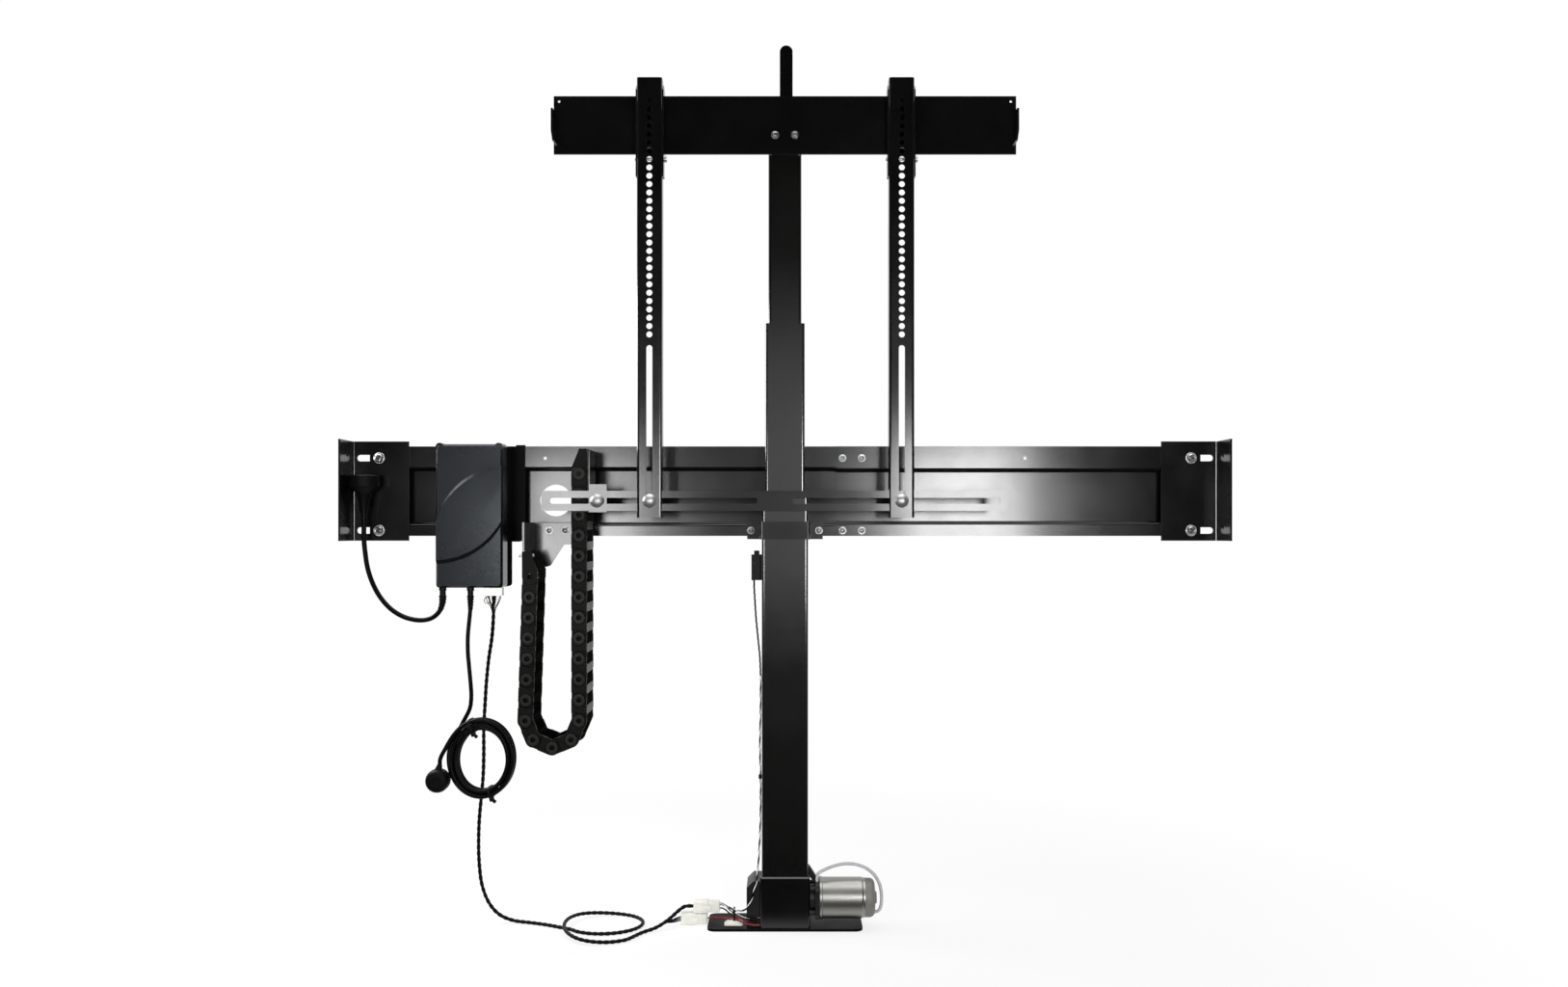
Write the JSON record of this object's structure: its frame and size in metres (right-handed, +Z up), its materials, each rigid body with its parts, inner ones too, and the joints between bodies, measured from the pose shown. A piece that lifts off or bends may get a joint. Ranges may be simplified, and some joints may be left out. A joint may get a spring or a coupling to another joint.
{
  "type": "tv lift mechanism",
  "caption": "Motor-driven telescopic column on a foot plate with a cabinet rail, control box, cable chain and a slotted frame with hooked arms that raises a flat screen.",
  "frame": {"origin": "on the column axis at the underside of the foot plate, on the floor", "axes": "+X to the right seen from the front, +Y to the back, +Z up"},
  "size_m": [1.354, 0.1637, 1.358],
  "materials": {
    "black_steel": "semi-gloss black powder coat",
    "zinc": "bright zinc plate",
    "motor_steel": "satin zinc-plated drawn can",
    "bright_steel": "ground steel",
    "bronze": "machined bronze",
    "grey_plastic": "moulded grey plastic",
    "black_plastic": "moulded black nylon",
    "box_plastic": "smooth moulded black plastic",
    "white_nylon": "natural nylon",
    "black_cable": "black cable sheath",
    "plug_rubber": "moulded black plug",
    "grey_cable": "grey cable sheath",
    "red_wire": "insulated wire"
  },
  "bodies": {
    "root": {"base_plate": "black_steel", "outer_tube": "black_steel", "gear_housing": "black_steel", "housing_cover": "black_steel", "motor_flange": "black_steel", "motor_can": "motor_steel", "motor_end_cap": "grey_plastic", "spindle_bearing": "bright_steel", "outer_glides": "white_nylon", "rail_left": "black_steel", "rail_right": "black_steel", "rail_bolts": "zinc", "bracket_bolts": "zinc", "column_strap": "black_steel", "limit_switch": "black_plastic", "switch_wire": "black_cable", "box_mount_plate": "black_steel", "control_box_base": "box_plastic", "control_box_lid": "box_plastic", "cable_glands": "black_plastic", "box_connector": "white_nylon", "chain_gusset": "black_steel", "chain_fixed_end": "black_plastic", "chain_fixed_run": "black_plastic", "motor_cable": "grey_cable", "socket_lead": "black_cable", "mains_lead": "black_cable", "mains_coil": "black_cable", "mains_plug": "plug_rubber", "harness": "black_cable", "harness_connectors": "white_nylon", "connector_wires": "red_wire", "cable_ties": "black_plastic"},
    "middle_stage": {"middle_tube": "black_steel", "middle_glides": "white_nylon", "spindle_nut": "bronze", "upper_bearing": "bright_steel"},
    "inner_stage": {"inner_tube": "black_steel", "inner_glides": "white_nylon", "upper_nut": "bronze", "cross_plate": "black_steel", "plate_bolts": "zinc", "lid_arm": "black_steel", "crossbar": "black_steel", "chain_bracket": "black_steel", "chain_bracket_bolt": "zinc", "chain_moving_end": "black_plastic", "chain_moving_run": "black_plastic"},
    "chain_loop": {"chain_bend": "black_plastic"},
    "lower_screw": {"lower_spindle": "bright_steel", "worm_wheel": "bronze"},
    "upper_screw": {"upper_spindle": "bright_steel"},
    "worm": {"worm_shaft": "bright_steel"},
    "left_tv_arm": {"left_arm": "black_steel", "left_arm_bolts": "zinc"},
    "right_tv_arm": {"right_arm": "black_steel", "right_arm_bolts": "zinc"},
    "left_end": {"left_bracket": "black_steel", "socket_coupler": "plug_rubber"},
    "right_end": {"right_bracket": "black_steel"}
  },
  "joints": [
    {"name": "middle_lift", "type": "slide", "parent": "root", "child": "middle_stage", "axis": [0, 0, 1], "range_m": [-0.24, 0.16]},
    {"name": "inner_lift", "type": "slide", "parent": "middle_stage", "child": "inner_stage", "axis": [0, 0, 1], "range_m": [-0.24, 0.16], "deforming": ["chain_moving_run"]},
    {"name": "chain_roll", "type": "slide", "parent": "root", "child": "chain_loop", "axis": [0, 0, 1], "range_m": [-0.24, 0.16], "deforming": ["chain_fixed_run"]},
    {"name": "lower_screw_turn", "type": "hinge", "parent": "root", "child": "lower_screw", "pos_m": [0, 0, 0.046], "axis": [0, 0, 1], "range_deg": [-10830, 7230]},
    {"name": "upper_screw_turn", "type": "hinge", "parent": "middle_stage", "child": "upper_screw", "pos_m": [0, 0, 0.36], "axis": [0, 0, 1], "range_deg": [-10830, 7230]},
    {"name": "worm_turn", "type": "hinge", "parent": "root", "child": "worm", "pos_m": [0, -0.02, 0.046], "axis": [1, 0, 0], "range_deg": [-64830, 43230]},
    {"name": "left_arm_slide", "type": "slide", "parent": "inner_stage", "child": "left_tv_arm", "axis": [1, 0, 0], "range_m": [-0.04, 0.128]},
    {"name": "right_arm_slide", "type": "slide", "parent": "inner_stage", "child": "right_tv_arm", "axis": [1, 0, 0], "range_m": [-0.1, 0.125]},
    {"name": "left_bracket_slide", "type": "slide", "parent": "root", "child": "left_end", "axis": [1, 0, 0], "range_m": [0, 0.03], "deforming": ["socket_lead"]},
    {"name": "right_bracket_slide", "type": "slide", "parent": "root", "child": "right_end", "axis": [-1, 0, 0], "range_m": [0, 0.03]}
  ],
  "couplings": [
    {"joint": "inner_lift", "follows": "middle_lift", "ratio": 1},
    {"joint": "chain_roll", "follows": "middle_lift", "ratio": 1},
    {"joint": "lower_screw_turn", "follows": "middle_lift", "rad_per_m": 785.4},
    {"joint": "upper_screw_turn", "follows": "middle_lift", "rad_per_m": 785.4},
    {"joint": "worm_turn", "follows": "middle_lift", "rad_per_m": 4712.4}
  ]
}
